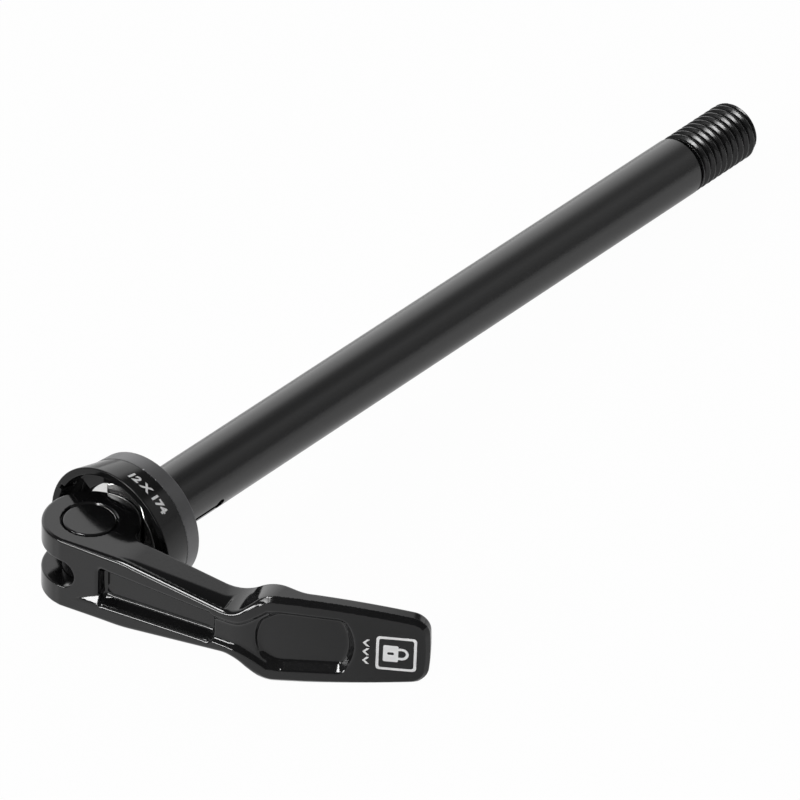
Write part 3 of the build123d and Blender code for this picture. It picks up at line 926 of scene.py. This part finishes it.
def onCone(u, v, lift):
    share = (u - min(widths)) / (max(widths) - min(widths))
    rise = (v - min(heights)) / (max(heights) - min(heights))
    angle = math.radians(numerals["firstAngle"] + share * (numerals["lastAngle"] - numerals["firstAngle"]))
    x = numerals["bottomX"] + rise * numerals["height"]
    radius = coneFoot + coneSlope * (ring["bandX"] - x) + lift
    return Vector((x, radius * math.cos(angle), radius * math.sin(angle)))


place("ring_numerals", bendPrint(numeralMesh, onCone), "axle", whitePrint, "ring_anodised")


def roundedBox(cx, cy, halfX, halfY, radius):
    # seven points a corner
    loop = []
    for quarter, (sx, sy) in enumerate([(1, 1), (-1, 1), (-1, -1), (1, -1)]):
        for n in range(7):
            angle = math.radians(90 * quarter + 15 * n)
            loop.append((cx + sx * (halfX - radius) + radius * math.cos(angle),
                         cy + sy * (halfY - radius) + radius * math.sin(angle)))
    return loop


def arcBand(cx, cy, outer, inner, drop):
    # an upside-down U: two legs and a round top
    top = [(cx + outer * math.cos(a), cy + outer * math.sin(a)) for a in np.linspace(0, math.pi, 17)]
    under = [(cx + inner * math.cos(a), cy + inner * math.sin(a)) for a in np.linspace(math.pi, 0, 17)]
    foot = cy - drop
    return [(cx + outer, foot), *top, (cx - outer, foot), (cx - inner, foot), *under, (cx + inner, foot)]


def chevron(cx, cy, half, thick):
    return [(cx - half, cy + half), (cx, cy), (cx + half, cy + half), (cx + half, cy + half - thick),
            (cx, cy - thick), (cx - half, cy + half - thick)]


paddleMarks = {
    "middle": 28.25, "centre": 0.45, "half": 3.6, "line": 0.5, "corner": 0.7, "innerCorner": 0.45,
    "lockDown": 1.0, "lockHalf": (1.75, 1.35), "lockCorner": 0.3, "keyHalf": (0.3, 0.6), "keyCorner": 0.28,
    "bowUp": 0.95, "bowOuter": 1.25, "bowInner": 0.75, "bowDrop": 0.6,
    "chevronAt": 22.75, "chevronHalf": 0.75, "chevronGap": 1.9, "chevronThick": 0.5, "longest": 2.0,
}


def paddlePrint():
    # drawn with x across the paddle and y towards its tip
    centre, middle, half = paddleMarks["centre"], paddleMarks["middle"], paddleMarks["half"]
    inner = half - paddleMarks["line"]
    lockY = middle - paddleMarks["lockDown"]
    bow = [paddleMarks[name] for name in ("bowOuter", "bowInner", "bowDrop")]
    loops = [
        roundedBox(centre, middle, half, half, paddleMarks["corner"]),
        roundedBox(centre, middle, inner, inner, paddleMarks["innerCorner"]),
        roundedBox(centre, lockY, *paddleMarks["lockHalf"], paddleMarks["lockCorner"]),
        arcBand(centre, middle + paddleMarks["bowUp"], *bow),
        roundedBox(centre, lockY, *paddleMarks["keyHalf"], paddleMarks["keyCorner"]),
    ]
    for n in (-1, 0, 1):
        across = centre + paddleMarks["chevronGap"] * n
        loops.append(chevron(
            across, paddleMarks["chevronAt"], paddleMarks["chevronHalf"], paddleMarks["chevronThick"]))
    curve = bpy.data.curves.new("paddle_marks", "CURVE")
    curve.dimensions = "2D"
    curve.fill_mode = "BOTH"
    for loop in loops:
        line = curve.splines.new("POLY")
        line.points.add(len(loop) - 1)
        for point, (u, v) in zip(line.points, loop):
            point.co = (u, v, 0, 1)
        line.use_cyclic_u = True
    return curve


def onPaddle(u, v, lift):
    spot = bend + padDir * v + padOut * lift
    return Vector((spot[0], spot[1], -u))


marksMesh = bendPrint(flatPrint(paddlePrint(), paddleMarks["longest"]), onPaddle)
place("paddle_marks", marksMesh, "lever", whitePrint, "lever_gloss")
print("print laid on")


# Stage: pale floor that the part lies on
stage = {
    "rest": [(-10.0, 0.0, -14.2), (174.0, 0.0, -6.0), (2.0, -61.5, -6.6)], "half": 8.0,
    "floorTone": 0.86, "shown": 0.975,
    # painted shade in the floor's reflections: stops for the share of plain white that gloss rays see across
    # the floor, and for its fall along the shaft
    "mirrored": [(0.0, 0.2), (0.08, 0.75), (0.4, 0.75), (0.87, 0.3)],
    "paintedShadeStart": -0.062, "paintedShadeSpan": 0.3,
    "paintedShadeUnderShaft": [(0.22, 1.0), (0.6, 0.62)], "paintedShadeUnderSpan": 0.1,
}
ringRest, tipRest, padRest = [Vector(p) * mm for p in stage["rest"]]
floorUp = (tipRest - ringRest).cross(padRest - ringRest)
floorUp = (floorUp if floorUp.z > 0 else -floorUp).normalized()
floorMesh = bpy.data.meshes.new("floor")
half = stage["half"]
floorCorners = [(-half, -half, 0), (half, -half, 0), (half, half, 0), (-half, half, 0)]
floorMesh.from_pydata(floorCorners, [], [(0, 1, 2, 3)])
floor = newObject("floor", floorMesh)
floor.matrix_world = Matrix.Translation(ringRest) @ floorUp.to_track_quat("Z", "Y").to_matrix().to_4x4()
floorPaper = bpy.data.materials.new("floorPaper")
floorPaper.use_nodes = True
floorPaper.node_tree.nodes.clear()
wire = Wire(floorPaper.node_tree)
rays = [wire.add("LightPath", out=name) for name in ("Is Camera Ray", "Is Glossy Ray", "Is Transmission Ray")]
# painted shade and light in the floor's reflections: the share of plain white that gloss rays see changes
# across the floor, darker towards the paddle side, and falls along the shaft, darker under it
spot = wire.add("NewGeometry", out="Position")
across = wire.add("SeparateXYZ", {}, {0: spot}, out="Y")
along = wire.add("SeparateXYZ", {}, {0: spot}, out="X")
share = wire.ramp((across - stage["paintedShadeStart"]) * (1 / stage["paintedShadeSpan"]), stage["mirrored"])
share = share * wire.ramp(along * (1 / stage["paintedShadeUnderSpan"]), stage["paintedShadeUnderShaft"])
seen = rays[0] * stage["shown"] + rays[2] * stage["shown"] + rays[1] * share
seen = wire.math("MINIMUM", seen, 1.0)
matt = wire.add("BsdfDiffuse", {}, {"Color": (stage["floorTone"],) * 3 + (1,)})
lit = wire.add("Emission", {}, {"Color": (1, 1, 1, 1), "Strength": 1.0})
wire.add("OutputMaterial", {}, {"Surface": wire.add("MixShader", {}, {0: seen, 1: matt, 2: lit})})
floorMesh.materials.append(floorPaper)

# Sky: brighter behind, dark on the left and overhead, and a dark card on the right
surround = {
    "overhead": [(0.0, 1.0), (0.65, 1.0), (0.77, 0.12), (1.0, 0.1)], "left": [(0.3, 0.15), (0.5, 1.0)],
    "cardHeight": [(0.28, 0.0), (0.37, 1.0), (0.5, 1.0), (0.58, 0.0)],
    "cardWidth": [(0.4, 0.0), (0.46, 1.0), (0.68, 1.0), (0.74, 0.0)], "cardSide": 0.6, "cardDark": 0.88,
    "glow": (0.15, 0.78, 0.0), "glowMiddle": 0.76, "least": 0.12,
}
world = bpy.data.worlds.new("studio")
bpy.context.scene.world = world
world.use_nodes = True
world.node_tree.nodes.clear()
sky = Wire(world.node_tree)
compass = sky.add("TexCoord", out="Generated")
up = sky.add("SeparateXYZ", {}, {0: compass}, out="Z")


def towards(direction):
    return sky.add("VectorMath", {"operation": "DOT_PRODUCT"}, {0: compass, 1: direction}, out="Value")


overhead = sky.ramp(up, surround["overhead"])
darkLeft = sky.ramp(towards((0.5, 0.0, 0.0)) + 0.5, surround["left"])
cardHeight = sky.ramp(up, surround["cardHeight"])
cardWidth = sky.ramp(towards((0.0, 0.5, 0.0)) + 0.5, surround["cardWidth"])
card = cardHeight * cardWidth * (towards((1.0, 0.0, 0.0)) > surround["cardSide"])
glow = towards(surround["glow"]) + surround["glowMiddle"]
shade = overhead * darkLeft * glow * (1.0 - card * surround["cardDark"])
shade = sky.math("MAXIMUM", shade, surround["least"])
sky.add("OutputWorld", {}, {"Surface": sky.add("Background", {}, {"Color": shade, "Strength": 1.0})})

# Soft boxes: lights says whether a box lights matt faces, mirrored whether gloss shows it
softBoxes = [
    {"name": "left_box", "from": (-2.85, 1.18, 0.83), "size": (1.55, 0.4), "power": 48.0,
     "lights": True, "mirrored": True},
    {"name": "low_box", "from": (-2.1, 0.075, 0.295), "size": (0.44, 0.44), "power": 9.0,
     "lights": False, "mirrored": True},
    {"name": "tip_box", "from": (-0.151, 0.028, 0.148), "size": (0.152, 0.055), "power": 0.042,
     "lights": False, "mirrored": True, "to": (0.165, 0.0, 0.0), "spread": 50.0},
    {"name": "key_box", "from": (-0.62, 0.1, 0.96), "size": (0.36, 0.26), "power": 8.0,
     "lights": False, "mirrored": True},
    {"name": "fill_box", "from": (-0.7, -0.6, 1.1), "size": (0.8, 0.8), "power": 6.0,
     "lights": True, "mirrored": False},
]
for box in softBoxes:
    lamp = bpy.data.lights.new(box["name"], "AREA")
    lamp.shape = "RECTANGLE"
    lamp.size, lamp.size_y = box["size"]
    lamp.energy = box["power"]
    lamp.spread = math.radians(box.get("spread", 180.0))
    holder = newObject(box["name"], lamp)
    holder.location = Vector(box["from"])
    holder.visible_diffuse = box["lights"]
    holder.visible_glossy = box["mirrored"]
    holder.rotation_mode = "QUATERNION"
    aim = Vector(box.get("to", (0.0, 0.0, 0.0))) - holder.location
    holder.rotation_quaternion = aim.to_track_quat("-Z", "Y")

camera = {
    "place": (-0.8195, -0.7058, 0.7820), "right": (0.6387, -0.7687, 0.0338), "up": (0.4229, 0.3874, 0.8192),
    "ahead": (0.6428, 0.5089, -0.5725), "lens": 333.2, "sensor": 36.0, "near": 0.01, "far": 60.0,
}
cameraData = bpy.data.cameras.new("camera")
cameraData.lens = camera["lens"]
cameraData.sensor_width = camera["sensor"]
cameraData.clip_start = camera["near"]
cameraData.clip_end = camera["far"]
cameraPiece = newObject("camera", cameraData)
axes = Matrix((camera["right"], camera["up"], [-n for n in camera["ahead"]])).transposed()
cameraPiece.matrix_world = Matrix.Translation(camera["place"]) @ axes.to_4x4()
bpy.context.scene.camera = cameraPiece
bpy.context.scene.view_settings.view_transform = "Standard"
print("stage, lights and camera set")
